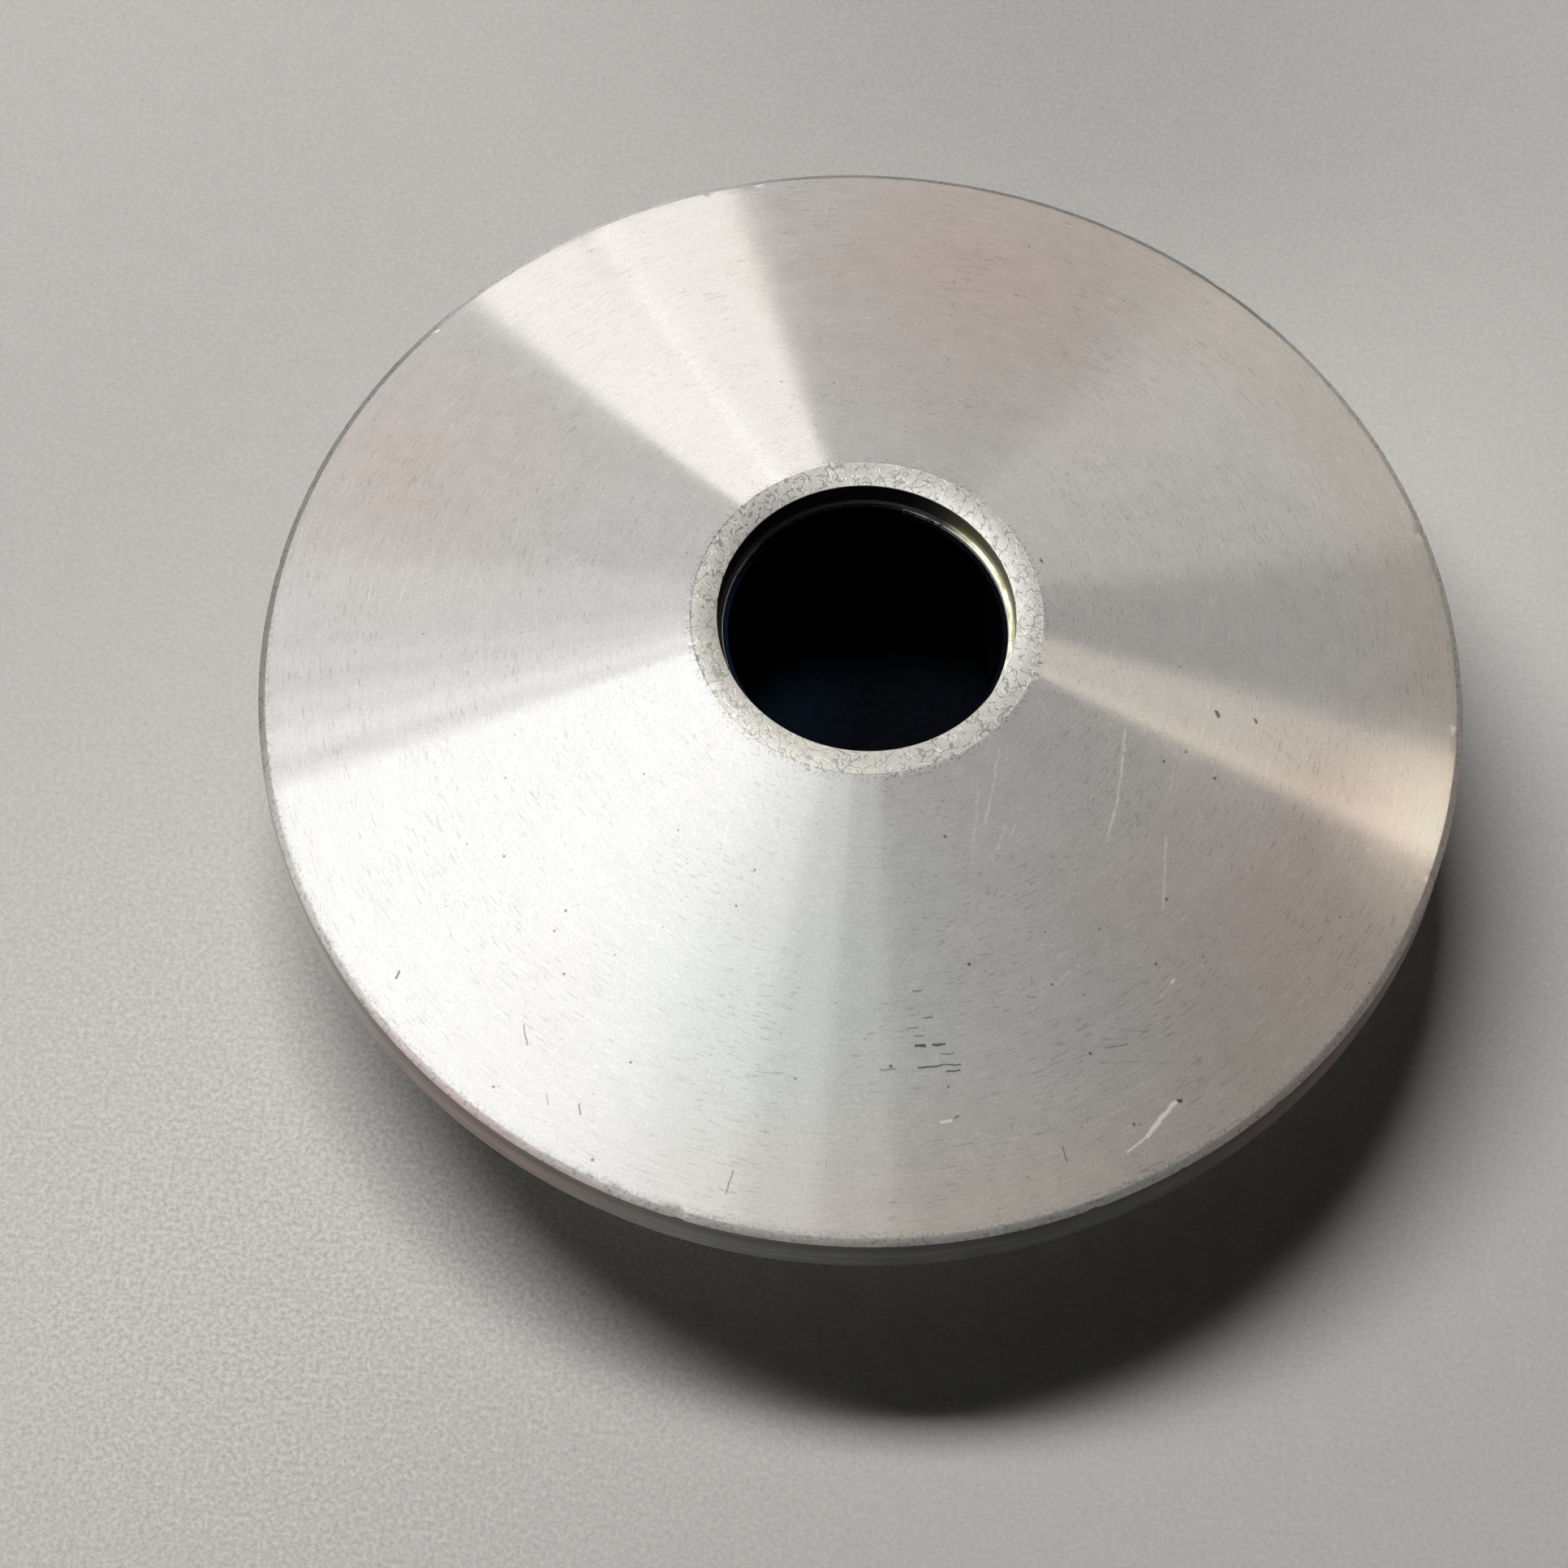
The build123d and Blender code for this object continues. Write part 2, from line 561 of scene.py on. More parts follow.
marked_place = moved_by_noise(bench, place, 1.6, 1.0, 0.22)
pale = strongest(bench, [scratch(bench, marked_place, *mark) for mark in pale_scratches])
bright = strongest(bench, [scratch(bench, marked_place, *mark) for mark in gouges])
dark = strongest(bench, [scratch(bench, marked_place, *mark) for mark in dark_dashes + big_specks])
single_pits = strongest(
    bench, [patch(bench, flat_place, (x, y), size) for x, y, size in pit_places])
broken_up = bench.spread(bench.noise(place, 2.4, detail=1.0), 0.3, 0.6, 0.35, 1.0)
pale = bench.times(pale, broken_up)
print("marks drawn with", len(bench.tree.nodes), "nodes so far")

# %% [markdown]
# ## Hair scratches
# Wiping and sliding leave hairs of light in a few directions. A noise that is
# stretched thirty times along one line, and cut off near its top, leaves just a
# few long thin ones. Three turned copies cross each other, and a fourth one is
# dark.

# %% Cone: hair scratches


def hairs(bench, where, turn, length, width, level):
    """Sparse straight hairs at an angle, of about a length and width (mm)."""
    angle = math.radians(turn)
    along = (math.cos(angle) / length, math.sin(angle) / length, 0.0)
    across = (-math.sin(angle) / width, math.cos(angle) / width, 0.0)
    run = bench.vector("DOT_PRODUCT", where, along)
    side = bench.vector("DOT_PRODUCT", where, across)
    stretched = bench.vector(
        "ADD", bench.scaled((1.0, 0.0, 0.0), run), bench.scaled((0.0, 1.0, 0.0), side))
    turned_apart = bench.vector("ADD", stretched, (0.0, 0.0, turn * 0.37))
    return bench.spread(bench.noise(turned_apart, 1.0, detail=0.0), level, level + 0.1)


light_hairs = strongest(bench, [
    hairs(bench, marked_place, turn=82.0, length=3.2, width=0.12, level=0.79),
    hairs(bench, marked_place, turn=118.0, length=2.6, width=0.11, level=0.80),
    hairs(bench, marked_place, turn=35.0, length=2.2, width=0.11, level=0.81),
])
dark_hairs = hairs(bench, marked_place, turn=100.0, length=1.1, width=0.12, level=0.80)
print("hair scratches in 4 directions")

# %% [markdown]
# ## The cone's colour
# Bare aluminium isn't one grey. Skin oils and oxide tint it faintly pink and
# faintly green in patches a finger wide, and it is warmer towards the rim on
# the right. Two darker patches are painted shade. The patches, the clouds and
# the marks all scale one base colour, and both shaders read it.

# %% Cone: tints
cone_color = (0.76, 0.75, 0.735)


def tinted(bench, metal, tint, amount):
    """Lays a tint of the cone's colour over a metal."""
    colour = tuple(base * part for base, part in zip(cone_color, tint))
    return bench.mixed(metal, colour, amount)


stained_place = moved_by_noise(bench, place, 0.12, 2.0, 9.0)
pink = strongest(bench, [
    patch(bench, stained_place, (6.0, 28.0), 20.0),
    patch(bench, stained_place, (28.0, -14.0), 18.0),
    bench.times(patch(bench, stained_place, (-28.0, 11.0), 14.0), 0.6),
])
green = patch(bench, stained_place, (-2.0, -22.0), 17.0)
# painted shade: two patches that darken the cone where it lies in soft shade
painted_shade_patches = strongest(bench, [
    patch(bench, stained_place, (23.0, -23.0), 19.0),
    bench.times(patch(bench, stained_place, (3.0, 26.0), 17.0), 0.3),
])
# warmer towards the rim on the right
warm_rim_side = bench.times(bench.spread(out_here, 26.0, 34.0),
                      facing(bench, place, turn=350.0, narrow=60.0, wide=110.0))
metal = tinted(bench, cone_color, (1.05, 0.955, 0.915), pink)
metal = tinted(bench, metal, (0.975, 1.005, 0.99), green)
metal = tinted(bench, metal, (1.03, 0.975, 0.91), bench.times(warm_rim_side, 0.7))
print("tints: pink, green, warm")

# %% Cone: wear at its two edges, and a painted highlight
worn_specks = bench.spread(speckle, 0.5, 0.62)
near_side = facing(bench, place, turn=255.0, narrow=60.0, wide=110.0)
rough_edge = bench.times(bench.spread(out_here, 34.1, 34.6), worn_specks)
rough_edge = bench.times(rough_edge, near_side)
bruised = bench.times(bench.spread(out_here, 10.55, 10.15), bench.spread(speckle, 0.54, 0.62))
# painted highlight: a pale patch near the rim on the right, where a lamp's fan of light spreads
# wider
painted_highlight_patch = patch(bench, flat_place, (34.0, -7.0), 8.5)
print("edge wear ready")

# %% Cone: how light the metal is
shade = shift(bench, [
    (grain, 0.5, 0.20),
    (clouds, 0.5, 0.10),
    (feed_rings, 0.5, 0.05),
    (dark_strokes, 0.0, -0.14),
    (light_strokes, 0.0, 0.07),
    (light_hairs, 0.0, 0.08),
    (dark_hairs, 0.0, -0.18),
    (painted_shade_patches, 0.0, -0.12),
    (pits, 0.0, -0.4),
    (single_pits, 0.0, -0.7),
    (rough_edge, 0.0, -0.22),
    (bruised, 0.0, -0.25),
    (pale, 0.0, 0.35),
    (painted_highlight_patch, 0.0, 0.35),
])
darkest = 0.05
shade = bench.times(shade, bench.spread(dark, 0.0, 1.0, 1.0, 0.32))
shade = bench.math("MAXIMUM", shade, darkest)
fresh_metal = (0.96, 0.95, 0.93)
cone_metal = bench.mixed(bench.scaled(metal, shade), fresh_metal, bright)
print("cone shade ready")

# %% Cone: relief, and the two shaders
haze_roughness = 0.9
haze_share = 0.8
height = bench.times(strokes, 0.0022)
height = bench.plus(height, bench.times(feed_rings, 0.0012))
height = bench.plus(height, bench.times(grain, 0.0010))
relief = add_relief(bench, shader, height)
gloss_across_grooves(bench, shader, place)
bench.feed(shader.inputs["Base Color"], cone_metal)
bench.feed(shader.inputs["Roughness"],
           bench.spread(clouds, *NOISE_RANGE, groove_roughness - 0.02, groove_roughness + 0.02))

haze = bench.tree.nodes.new("ShaderNodeBsdfPrincipled")
haze.inputs["Metallic"].default_value = 1.0
haze.inputs["Roughness"].default_value = haze_roughness
bench.feed(haze.inputs["Base Color"], cone_metal)
bench.feed(haze.inputs["Normal"], relief)
both = bench.tree.nodes.new("ShaderNodeMixShader")
both.inputs[0].default_value = haze_share
bench.feed(both.inputs[1], shader.outputs[0])
bench.feed(both.inputs[2], haze.outputs[0])
bench.feed(bench.tree.nodes["Material Output"].inputs["Surface"], both.outputs[0])
print("cone finish:", len(bench.tree.nodes), "nodes")

# %% [markdown]
# ## The lip's finish
# The lip has been rubbed flat on something gritty, so it is matt and covered in
# small curled scratches that cross each other. A line drawn where a noise
# passes its middle value wanders just like that, and a second noise keeps only
# short pieces of it.

# %% Lip: curled scratches


def curls(bench, where, scale, thin, keep_from):
    """Short wandering hairlines."""
    field = bench.noise(where, scale, detail=1.0)
    away = bench.math("ABSOLUTE", bench.math("SUBTRACT", field, 0.5))
    line = bench.spread(away, thin * 0.3, thin, 1.0, 0.0)
    pieces = bench.noise(bench.moved(where, 7.0, 3.0), scale * 1.4, detail=0.0)
    return bench.times(line, bench.spread(pieces, keep_from, keep_from + 0.06))


lip_finish, bench, shader, place = new_finish("rubbed_lip", 1.0, 0.5)
flat_place = bench.flat(place)
dark_curls = strongest(bench, [
    curls(bench, place, 1.1, 0.03, 0.41),
    curls(bench, bench.moved(place, 31.0, 0.0), 1.7, 0.034, 0.46),
])
light_curls = strongest(bench, [
    curls(bench, bench.moved(place, 0.0, 57.0), 1.2, 0.026, 0.46),
    hairs(bench, flat_place, turn=60.0, length=2.0, width=0.08, level=0.73),
    hairs(bench, flat_place, turn=130.0, length=1.8, width=0.08, level=0.73),
])
print("lip scratches ready")

# %% Lip: shade and relief on a matt face
grain = bench.noise(place, 7.0, detail=2.0)
clouds = bench.noise(place, 1.3, detail=2.0)
specks = scattered_pits(bench, flat_place, cell=1.1, share=0.5, size=0.09)
outer_edge = bench.spread(bench.vector("LENGTH", flat_place), 9.88, 10.02)
# painted highlight along the outer edge on the right, and painted shade along it at the lower left
painted_highlight_edge = bench.times(outer_edge, facing(bench, place, turn=15.0, narrow=60.0, wide=100.0))
painted_shade_edge = bench.times(outer_edge, facing(bench, place, turn=225.0, narrow=60.0, wide=110.0))
shade = shift(bench, [
    (grain, 0.5, 0.26),
    (clouds, 0.5, 0.06),
    (dark_curls, 0.0, -0.38),
    (light_curls, 0.0, 0.24),
    (specks, 0.0, -0.3),
    (painted_shade_edge, 0.0, -0.40),
    (painted_highlight_edge, 0.0, 0.25),
    (patch(bench, flat_place, (-5.3, -7.6), 9.0), 0.0, 0.42),
    (patch(bench, flat_place, (-7.1, 6.0), 5.0), 0.0, -0.18),
    (patch(bench, flat_place, (7.1, -6.0), 7.0), 0.0, -0.12),
])
lip_metal = bench.scaled((0.610, 0.600, 0.560), bench.math("MAXIMUM", shade, darkest))
bench.feed(shader.inputs["Base Color"], lip_metal)
bench.feed(shader.inputs["Roughness"], bench.spread(clouds, *NOISE_RANGE, 0.46, 0.56))
height = bench.times(bench.math("SUBTRACT", light_curls, dark_curls), 0.006)
add_relief(bench, shader, bench.plus(height, bench.times(grain, 0.006)))
print("lip finish:", len(bench.tree.nodes), "nodes")

# %% [markdown]
# ## The rim's finish
# The land carries plain turning marks that run round the rim, and it has gone
# brown in places where fingers hold the piece. The marks follow the height
# along the axis here, so the wall version of the coordinates is used.

# %% Rim: turned land


def browned_places(bench, flat_place, clouds):
    """Where fingers have turned the rim brown."""
    places = [((-20.5, -28.4), 15.0), ((34.5, -7.0), 15.0), ((28.0, -21.0), 14.0)]
    browned = strongest(bench, [patch(bench, flat_place, *each) for each in places])
    return bench.times(browned, bench.spread(clouds, 0.3, 0.6, 0.5, 1.0))


rim_finish, bench, shader, place = new_finish("turned_rim", 1.0, 0.36)
flat_place = bench.flat(place)
strokes = bench.noise(round_a_wall(bench, place, 22.0, 5.0), 1.0, detail=2.0)
fine_rings = bench.noise(round_a_wall(bench, place, 2.0, 9.0), 1.0, detail=1.0)
streaks = bench.noise(round_a_wall(bench, place, 5.0, 2.6), 1.0, detail=2.0)
grain = bench.noise(place, 6.0, detail=2.0)
clouds = bench.noise(place, 0.35, detail=2.0)
print("rim patterns: strokes, rings, streaks, grain, clouds")

# %% Rim: shade and relief
# darker towards the top of the land; painted light: the land keeps its full lightness only where
# it faces left towards the lamp, and is painted darker elsewhere as the shade it reflects
up_here = bench.vector("DOT_PRODUCT", place, UP)
leftwards = bench.vector(
    "DOT_PRODUCT", bench.vector("NORMALIZE", flat_place), (-1.0, 0.0, 0.0))
painted_light_left_side = bench.spread(leftwards, 0.68, 0.97, 0.40, 1.0)
shade = shift(bench, [
    (grain, 0.5, 0.25),
    (strokes, 0.5, 0.40),
    (fine_rings, 0.5, 0.35),
    (clouds, 0.5, 0.30),
    (streaks, 0.5, 0.9),
])
shade = bench.times(shade, bench.spread(up_here, 11.4, 12.8, 1.2, 0.7))
shade = bench.times(bench.math("MAXIMUM", shade, darkest), painted_light_left_side)
browned = browned_places(bench, flat_place, clouds)
rim_metal = bench.mixed((0.60, 0.60, 0.58), (0.80, 0.56, 0.53), browned)
bench.feed(shader.inputs["Base Color"], bench.scaled(rim_metal, shade))
height = bench.times(bench.plus(strokes, fine_rings), 0.003)
add_relief(bench, shader, bench.plus(height, bench.times(grain, 0.003)))
print("rim finish:", len(bench.tree.nodes), "nodes")

# %% [markdown]
# ## The bevel's finish
# The bevel between the cone and the land takes every knock, so it is rubbed,
# speckled and duller than the land. It could share the land's finish, but it is
# the line that outlines the whole piece, so it gets its own. Its far side is
# painted darker as shade, a narrow stretch there carries a painted highlight,
# and its near left side is painted a little lighter.

# %% Bevel: rubbed and speckled, with painted light by side
bevel_finish, bench, shader, place = new_finish("rubbed_bevel_painted_light", 0.55, 0.5)
speckle = bench.noise(place, 4.0, detail=2.0)
strokes = bench.noise(round_the_axis(bench, place, 24.0, 6.0), 1.0, detail=2.0)
clouds = bench.noise(place, 0.35, detail=2.0)
shade = shift(bench, [
    (strokes, 0.5, 0.5),
    (clouds, 0.5, 0.25),
    (bench.spread(speckle, 0.56, 0.66), 0.0, -0.30),
    (bench.spread(speckle, 0.40, 0.32), 0.0, 0.15),
])
# painted light by side: darker as shade on the far side, a painted highlight on a narrow stretch
# there, and a little lighter at the near left
shaded_far_side = facing(bench, place, turn=120.0, narrow=62.0, wide=85.0)
painted_highlight_stretch = facing(bench, place, turn=122.0, narrow=4.0, wide=24.0)
near_side = facing(bench, place, turn=240.0, narrow=20.0, wide=50.0)
painted_light_by_side = bench.spread(shaded_far_side, 0.0, 1.0, 1.2, 0.62)
painted_light_by_side = bench.plus(painted_light_by_side, bench.times(painted_highlight_stretch, 0.65))
painted_light_by_side = bench.plus(painted_light_by_side, bench.times(near_side, 0.15))
shade = bench.times(bench.math("MAXIMUM", shade, darkest), painted_light_by_side)
browned = browned_places(bench, bench.flat(place), clouds)
bevel_metal = bench.mixed((0.62, 0.60, 0.56), (0.64, 0.54, 0.52), browned)
bench.feed(shader.inputs["Base Color"], bench.scaled(bevel_metal, shade))
add_relief(bench, shader, bench.times(bench.plus(speckle, strokes), 0.006))
print("bevel finish:", len(bench.tree.nodes), "nodes")

# %% [markdown]
# ## Inside the mouth
# The mouth's wall is painted bright on its lit side and dark elsewhere as
# shade, with a yellow tint on one side. The seat and the bore below are coloured
# near-black, so almost no light comes back up. The ledge and the very edges are
# painted bright where they catch light, broken up by wear, and painted black as
# shade elsewhere.

# %% Mouth wall
mouth_finish, bench, shader, place = new_finish("bored_mouth", 0.35, 0.4)
rings = bench.noise(round_a_wall(bench, place, 2.5, 5.0), 1.0, detail=2.0)
streaks = bench.noise(round_a_wall(bench, place, 14.0, 1.2), 1.0, detail=1.0)
# a yellow tint on one side
yellow_tint = bench.times(facing(bench, place, turn=28.0, narrow=8.0, wide=40.0),
                  bench.spread(rings, 0.35, 0.6, 0.3, 1.0))
# painted light: bright metal where the lamp falls on the wall, painted dark as shade elsewhere
lit_side = facing(bench, place, turn=5.0, narrow=15.0, wide=75.0)
shade = shift(bench, [(rings, 0.5, 0.9), (streaks, 0.5, 0.35)])
mouth_metal = bench.mixed((0.09, 0.085, 0.09), (0.62, 0.61, 0.55), lit_side)
mouth_metal = bench.mixed(mouth_metal, (0.58, 0.54, 0.27), yellow_tint)
shade = bench.math("MAXIMUM", shade, darkest)
bench.feed(shader.inputs["Base Color"], bench.scaled(mouth_metal, shade))
add_relief(bench, shader, bench.times(rings, 0.004))
print("mouth finish:", len(bench.tree.nodes), "nodes")

# %% Ledge
ledge_finish, bench, shader, place = new_finish("dulled_ledge", 0.5, 0.5)
smear = bench.noise(round_the_axis(bench, place, 9.0, 6.0), 1.0, detail=2.0)
# painted light: bright metal on the lit side, painted black as shade elsewhere
lit_side = facing(bench, place, turn=15.0, narrow=28.0, wide=48.0)
bright_with_yellow = bench.mixed((0.85, 0.86, 0.76), (0.50, 0.47, 0.20), bench.spread(smear, 0.46, 0.60))
bench.feed(shader.inputs["Base Color"], bench.mixed((0.012, 0.012, 0.014), bright_with_yellow, lit_side))
print("ledge finish:", len(bench.tree.nodes), "nodes")

# %% Worn edges of the ledge and the mouth, with painted light
edge_finish, bench, shader, place = new_finish("worn_edge_painted_light", 0.2, 0.45)
wear = bench.spread(bench.noise(place, 1.5, detail=3.0, roughness=0.7), 0.30, 0.48)
# painted highlight on two sides where the edges catch light, broken up by wear, and painted black
# as shade elsewhere
bare_and_lit = strongest(bench, [
    facing(bench, place, turn=22.0, narrow=38.0, wide=80.0),
    facing(bench, place, turn=180.0, narrow=25.0, wide=45.0),
])
least_bare_and_lit = 0.18
bare_and_lit = bench.times(bench.math("MAXIMUM", bare_and_lit, least_bare_and_lit), wear)
bare_and_lit = bench.times(bare_and_lit, facing(bench, place, turn=60.0, narrow=130.0, wide=165.0))
edge_metal = bench.mixed((0.03, 0.03, 0.03), (0.97, 0.96, 0.90), bare_and_lit)
bench.feed(shader.inputs["Base Color"], edge_metal)
print("edge finish:", len(bench.tree.nodes), "nodes")

# %% Near-black bore with a painted glare
black_finish, bench, shader, place = new_finish("near_black_bore", 0.0, 0.6)
dust = bench.noise(place, 2.2, detail=2.0)
# painted glare: a faint blue glow in the lower left of the bore
painted_blue_glare = patch(bench, bench.flat(place), (-7.5, 0.5), 8.5)
black = bench.mixed((0.0045, 0.0055, 0.0080), (0.013, 0.025, 0.048), painted_blue_glare)
black = bench.scaled(black, bench.spread(dust, *NOISE_RANGE, 0.85, 1.15))
bench.feed(shader.inputs["Base Color"], black)
shader.inputs["Specular IOR Level"].default_value = 0.0
print("bore finish:", len(bench.tree.nodes), "nodes")

# %% [markdown]
# ## The hidden side
# The underside, the spigot and the foot are plain turned faces with coarser
# marks. The foot face and the underside are flat and the spigot is a wall, so
# both kinds of stroke are read, and the surface's own normal picks one.

# %% Back: coarser turned faces
back_finish, bench, shader, place = new_finish("turned_back", 1.0, 0.38)
own_normal = bench.tree.nodes.new("ShaderNodeTexCoord").outputs["Normal"]
upright = bench.math("ABSOLUTE", bench.vector("DOT_PRODUCT", own_normal, UP))
flattest_wall = 0.6
on_face = bench.math("GREATER_THAN", upright, flattest_wall)
face_rings = bench.noise(round_the_axis(bench, place, 3.0, 4.0), 1.0, detail=2.0)
wall_rings = bench.noise(round_a_wall(bench, place, 3.0, 4.0), 1.0, detail=2.0)
rings = bench.plus(bench.times(face_rings, on_face),
                   bench.times(wall_rings, bench.math("SUBTRACT", 1.0, on_face)))
grain = bench.noise(place, 5.0, detail=2.0)
clouds = bench.noise(place, 0.3, detail=2.0)
shade = shift(bench, [(grain, 0.5, 0.2), (clouds, 0.5, 0.18), (rings, 0.5, 0.35)])
bench.feed(shader.inputs["Base Color"], bench.scaled((0.68, 0.675, 0.66), shade))
bench.feed(shader.inputs["Roughness"], bench.spread(clouds, *NOISE_RANGE, 0.34, 0.46))
add_relief(bench, shader, bench.times(rings, 0.004))
print("back finish:", len(bench.tree.nodes), "nodes")

# %% [markdown]
# ## Which finish goes where
# The finishes are shared out by place on the section: each face's middle has a
# radius and a height, and those say what surface it belongs to. The limits lie
# between the section's corners, so a broken edge goes with one of its sides.

# %% Assign the finishes
finishes = {
    "cone": cone_finish, "lip": lip_finish, "bevel": bevel_finish, "rim": rim_finish,
    "mouth": mouth_finish, "edge": edge_finish, "ledge": ledge_finish,
    "bore": black_finish, "back": back_finish,
}
finish_order = list(finishes)
for finish in finishes.values():
    flange_mesh.materials.append(finish)
lip_radius, cone_radius = 10.06, 34.6
underside, land_top = 10.05, 13.1
lip_height, mouth_radius = 21.33, 8.545
wall_foot = 19.83
ledge_height, ledge_radius = 19.73, 8.2
seat_height, seat_radius = 19.49, 8.1
foot_height = 5


def surface_at(radius, height):
    """The surface that a face belongs to, from its middle's radius and height in mm."""
    if radius > lip_radius:
        if height <= underside:
            return "back"
        if radius < cone_radius:
            return "cone"
        return "bevel" if height > land_top else "rim"
    if height > lip_height:
        return "lip" if radius > mouth_radius else "edge"
    if height > wall_foot:
        return "mouth"
    if height > ledge_height and radius > ledge_radius:
        return "ledge"
    if height > seat_height and radius > seat_radius:
        return "edge"
    return "bore" if height > foot_height else "back"


counts = dict.fromkeys(finish_order, 0)
for face in flange_mesh.polygons:
    middle = face.center / MM
    name = surface_at(middle.xy.length, middle.z)
    face.material_index = finish_order.index(name)
    counts[name] += 1
print("faces by finish:", counts)

# %% [markdown]
# ## The floor
# A plain pale sheet with a very fine grain, as of painted board. It only has to
# carry the shadow and give the metal something plain to reflect. Its grain is
# painted stronger on one side, as grazing light would show it, a patch at the
# lower left is painted lighter as light thrown off the metal, a patch to the
# right is lighter too, and the floor is a little darker at the back.

# %% Floor
floor_mesh = bpy.data.meshes.new("floor")
sheet = bmesh.new()
bmesh.ops.create_grid(sheet, x_segments=1, y_segments=1, size=3.0)
sheet.to_mesh(floor_mesh)
sheet.free()
floor = bpy.data.objects.new("floor", floor_mesh)
bpy.context.scene.collection.objects.link(floor)
print("floor", floor.dimensions[0], "m across")

# %% Floor: fine grain
floor_finish, bench, shader, place = new_finish("pale_board", 0.0, 0.6)
grain = bench.noise(place, 3.4, detail=3.0, roughness=0.75)
clouds = bench.noise(place, 0.5, detail=2.0)
# painted grazing light: the grain is drawn stronger on this side, as light grazing the board would
# show it
grazing_lit_side = patch(bench, place, (-34.0, -36.0), 45.0)
grazing_lit_grain = bench.times(bench.math("SUBTRACT", grain, 0.5), grazing_lit_side)
shade = shift(bench, [
    (grain, 0.5, 0.45),
    (clouds, 0.5, 0.06),
    (grazing_lit_grain, 0.0, 1.3),
    # darker at the back; a painted light patch at the lower left, as light thrown off the metal;
    # lighter to the right
    (patch(bench, place, (10.0, 62.0), 45.0), 0.0, -0.18),
    (patch(bench, place, (-40.0, -32.0), 55.0), 0.0, 0.20),
    (patch(bench, place, (36.0, 18.0), 35.0), 0.0, 0.20),
])
bench.feed(shader.inputs["Base Color"], bench.scaled((0.74, 0.725, 0.69), shade))
add_relief(bench, shader, bench.times(grain, 0.015))
shader.inputs["Specular IOR Level"].default_value = 0.1
floor_mesh.materials.append(floor_finish)
print("floor finish:", len(bench.tree.nodes), "nodes")

# %% [markdown]
# ## The lights
# One soft strip lights the floor and gives the shadow. The metal needs its own:
# each fan on the cone is the reflection of one bright panel, and the panels
# stand where those fans call for them. They are seen by gloss only, so they can
# be tuned without touching the floor or the shadow.

# %% The key lamp


def strip_lamp(name, left_end, right_end, width, watts):
    """A straight rectangular lamp between two points that faces the part."""
    left_end, right_end = Vector(left_end), Vector(right_end)
    lamp = bpy.data.lights.new(name, "AREA")
    lamp.shape = "RECTANGLE"
    lamp.size = (right_end - left_end).length
    lamp.size_y = width
    lamp.energy = watts
    along = (right_end - left_end).normalized()
    middle = (left_end + right_end) / 2
    away = (middle - along * middle.dot(along)).normalized()
    across = away.cross(along)
    turned = Matrix((along, across, away)).transposed()
    strip = bpy.data.objects.new(name, lamp)
    bpy.context.scene.collection.objects.link(strip)
    strip.matrix_world = Matrix.Translation(middle) @ turned.to_4x4()
    return strip


key = strip_lamp("key_lamp", (-0.50, 0.23, 0.6), (0.02, 0.26, 0.6), width=0.12, watts=3.5)
key.visible_glossy = False
print("key lamp", key.data.energy, "W")

# %% Reflection panels: their two ends, width (m), watts and tint
WHITE = (0.99, 1.0, 1.015)
WARM_WHITE = (1.0, 0.96, 0.90)
AMBER = (1.0, 0.86, 0.68)
panels = {
    "left_fade_panel": ((-0.618, 0.364, 0.353), (-0.245, 0.358, 0.672), 0.12, 0.11, WHITE),
    "back_panel": ((-0.137, 0.766, 0.748), (-0.266, 1.014, 0.243), 0.15, 0.80, WARM_WHITE),
    "back_left_panel": ((-0.205, 0.725, 0.772), (-0.425, 0.945, 0.293), 0.135, 0.75, WARM_WHITE),
    "back_right_panel": ((0.27, 0.64, 0.72), (0.533, 0.815, 0.229), 0.36, 0.44, WARM_WHITE),
    "side_panel": ((0.197, 0.319, 0.706), (0.613, 0.246, 0.452), 0.11, 0.25, AMBER),
    "side_edge_panel": ((0.194, 0.302, 0.714), (0.614, 0.189, 0.478), 0.03, 0.03, AMBER),
}
print("single panels:", len(panels))

# %% [markdown]
# ## Bands
# The two widest panels are windows that fade to one side. A lamp has one
# brightness all over, so each window is a row of narrow lamps. The overhead one
# is cut along its length. The left one is cut by direction: metal shows a panel
# where it points halfway between the panel and the camera, and the grooves tip
# that way by 10 to 30 degrees. So a fan's direction gives its band's two ends.

# %% Overhead window: from and to (m), share of the full glow
top_glow = 11.3         # W for each square metre
top_width = 0.48
top_bands = [(-0.75, -0.165, 1.0), (-0.165, -0.076, 0.76),
             (-0.076, -0.0093, 0.44), (-0.0093, 0.05, 0.20)]
for number, (left, right, share) in enumerate(top_bands):
    ends = [(x, 0.0345 * x - 0.005, 0.6) for x in (left, right)]
    watts = top_glow * share * (right - left) * top_width
    panels[f"top_panel_{number}"] = (*ends, top_width, watts, WHITE)
print("overhead bands:", len(top_bands))

# %% Left window: its fan's direction and width (degrees), share of the full glow
panel_distance = 0.8


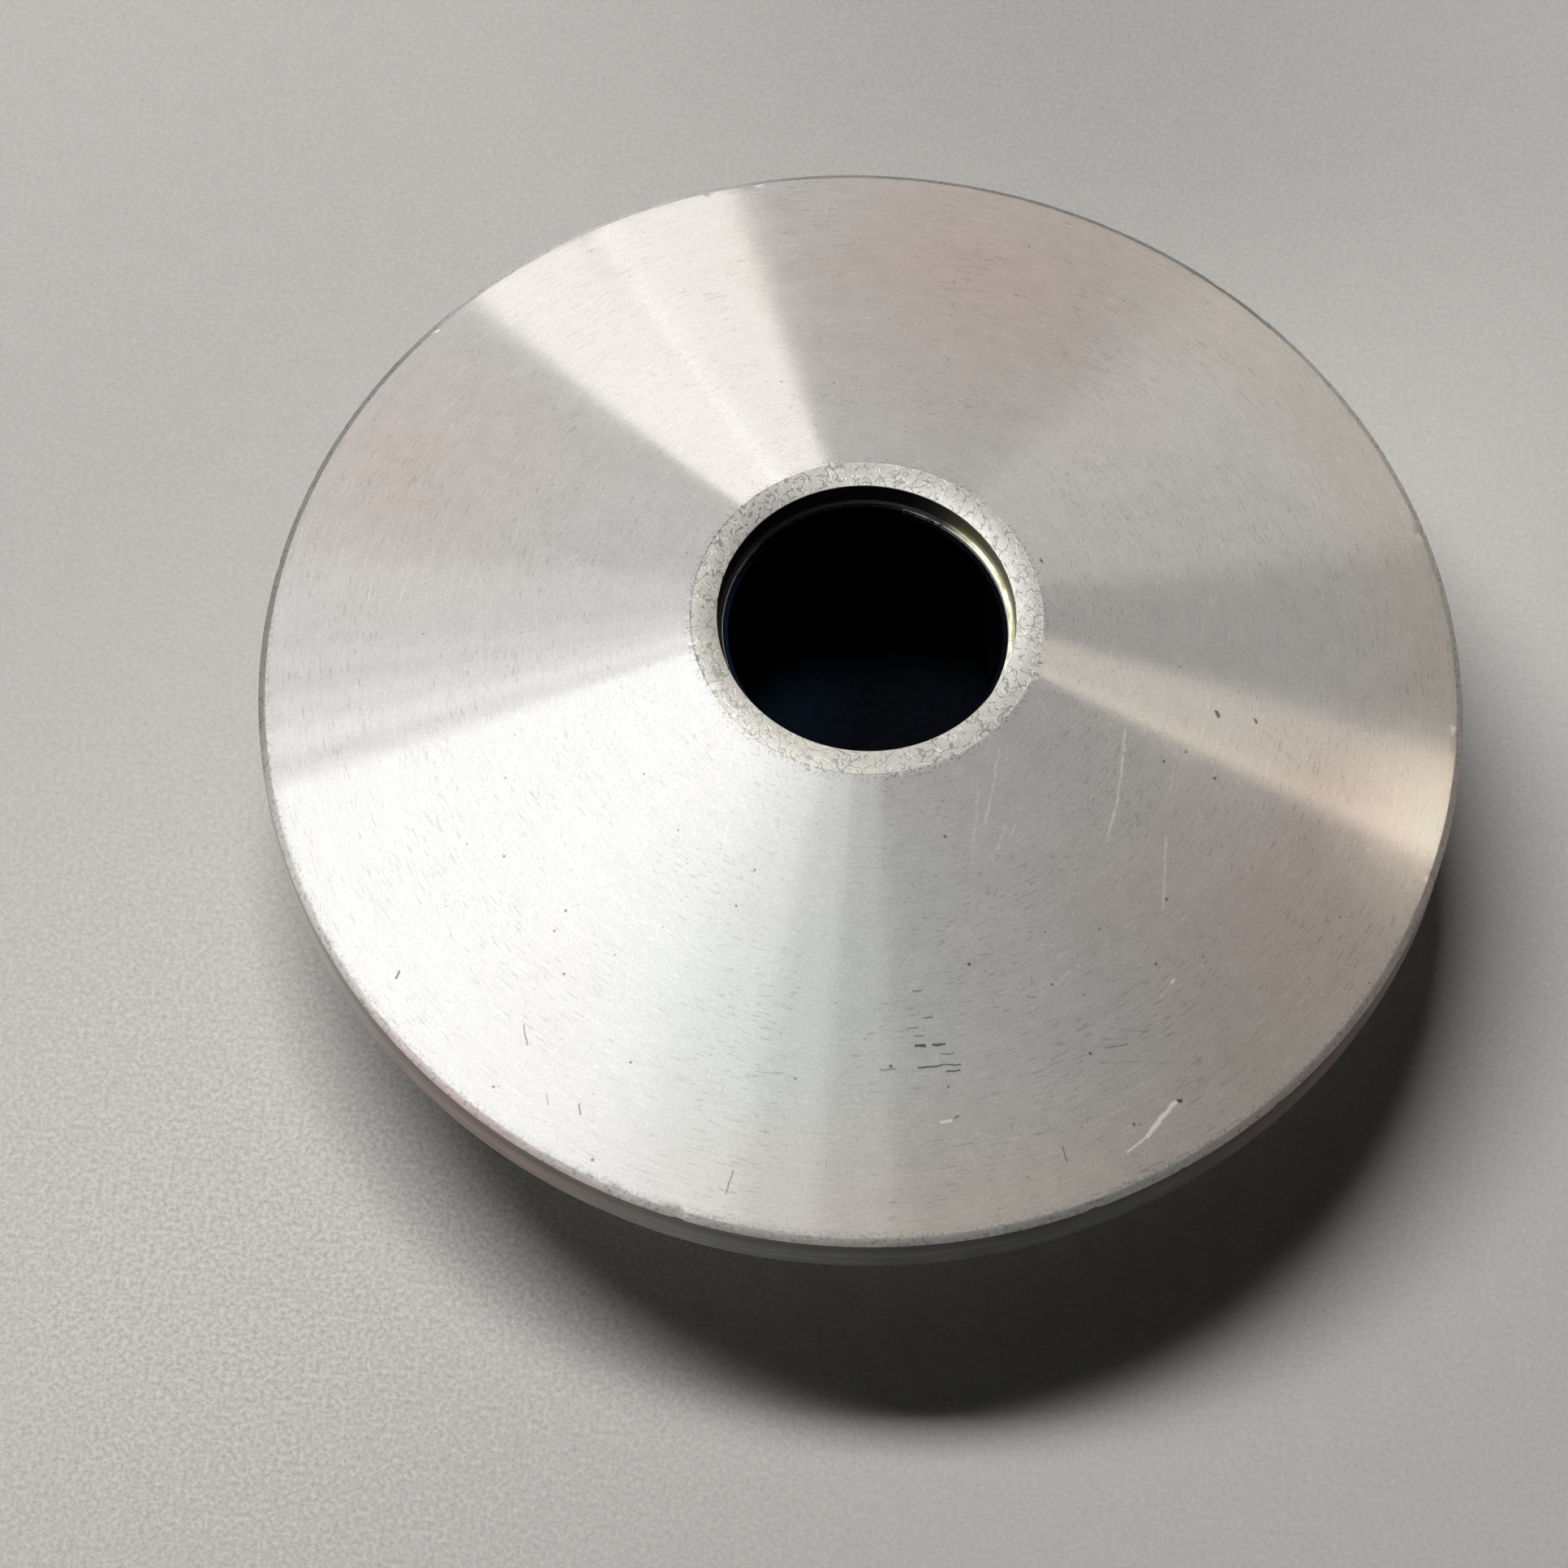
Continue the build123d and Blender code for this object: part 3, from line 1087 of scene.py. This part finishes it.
def fan_ends(turn):
    """The two ends of a panel whose fan on the cone lies in one direction."""
    to_camera = Vector((0.0, -0.442, 0.897))
    steepest, flattest = math.radians(30.0), math.radians(10.0)
    ends = []
    for tilt in (steepest, flattest):
        out = Vector((math.cos(turn), math.sin(turn), 0.0))
        halfway = out * math.sin(tilt) + Vector((0.0, 0.0, math.cos(tilt)))
        ends.append((2 * to_camera.dot(halfway) * halfway - to_camera) * panel_distance)
    return ends


left_glow = 3.27        # W for each metre of width
metres_per_degree = 0.008
left_bands = [(185.75, 3.5, 0.33), (189.25, 3.5, 0.70), (193.0, 4.0, 1.10), (196.75, 3.5, 0.90)]
for number, (turn, degrees_wide, share) in enumerate(left_bands):
    width = degrees_wide * metres_per_degree
    watts = left_glow * share * width
    panels[f"left_panel_{number}"] = (*fan_ends(math.radians(turn)), width, watts, WHITE)
print("left bands:", len(left_bands))

# %% Hang the panels
for name, (left_end, right_end, width, watts, tint) in panels.items():
    panel = strip_lamp(name, left_end, right_end, width, watts)
    panel.visible_diffuse = False
    panel.data.color = tint
print("lamps:", 1 + len(panels))

# %% [markdown]
# ## The room
# Between the panels the metal reflects the room, which is paler on the window
# side. The world draws it as one smooth slope of grey for gloss and for the
# camera, and only a whisper of it lights the floor, so the shadow stays deep.

# %% World
room_high = 0.36
room_from = -0.3
room_fill = 0.003
dim_color = (1.0, 0.93, 0.87)
pale_color = (0.99, 1.0, 0.98)
world = bpy.data.worlds.new("room")
world.use_nodes = True
bpy.context.scene.world = world
bench = Bench(world.node_tree)
background = bench.tree.nodes["Background"]
direction = bench.tree.nodes.new("ShaderNodeTexCoord").outputs["Generated"]
towards = bench.vector("DOT_PRODUCT", direction, (-0.88, 0.20, 0.40))
slope = bench.spread(towards, room_from, 1.0)
bench.feed(background.inputs["Color"], bench.mixed(dim_color, pale_color, slope))
wall = bench.times(slope, room_high)
rays = bench.tree.nodes.new("ShaderNodeLightPath")
seen = bench.math("MAXIMUM", rays.outputs["Is Camera Ray"], rays.outputs["Is Glossy Ray"])
glow = bench.times(bench.math("SUBTRACT", wall, room_fill), seen)
bench.feed(background.inputs["Strength"], bench.plus(glow, room_fill))
print("room up to", room_high)

# %% [markdown]
# ## Last settings
# The Standard view shows colours as they are written.

# %% Finish
bpy.context.scene.view_settings.view_transform = "Standard"
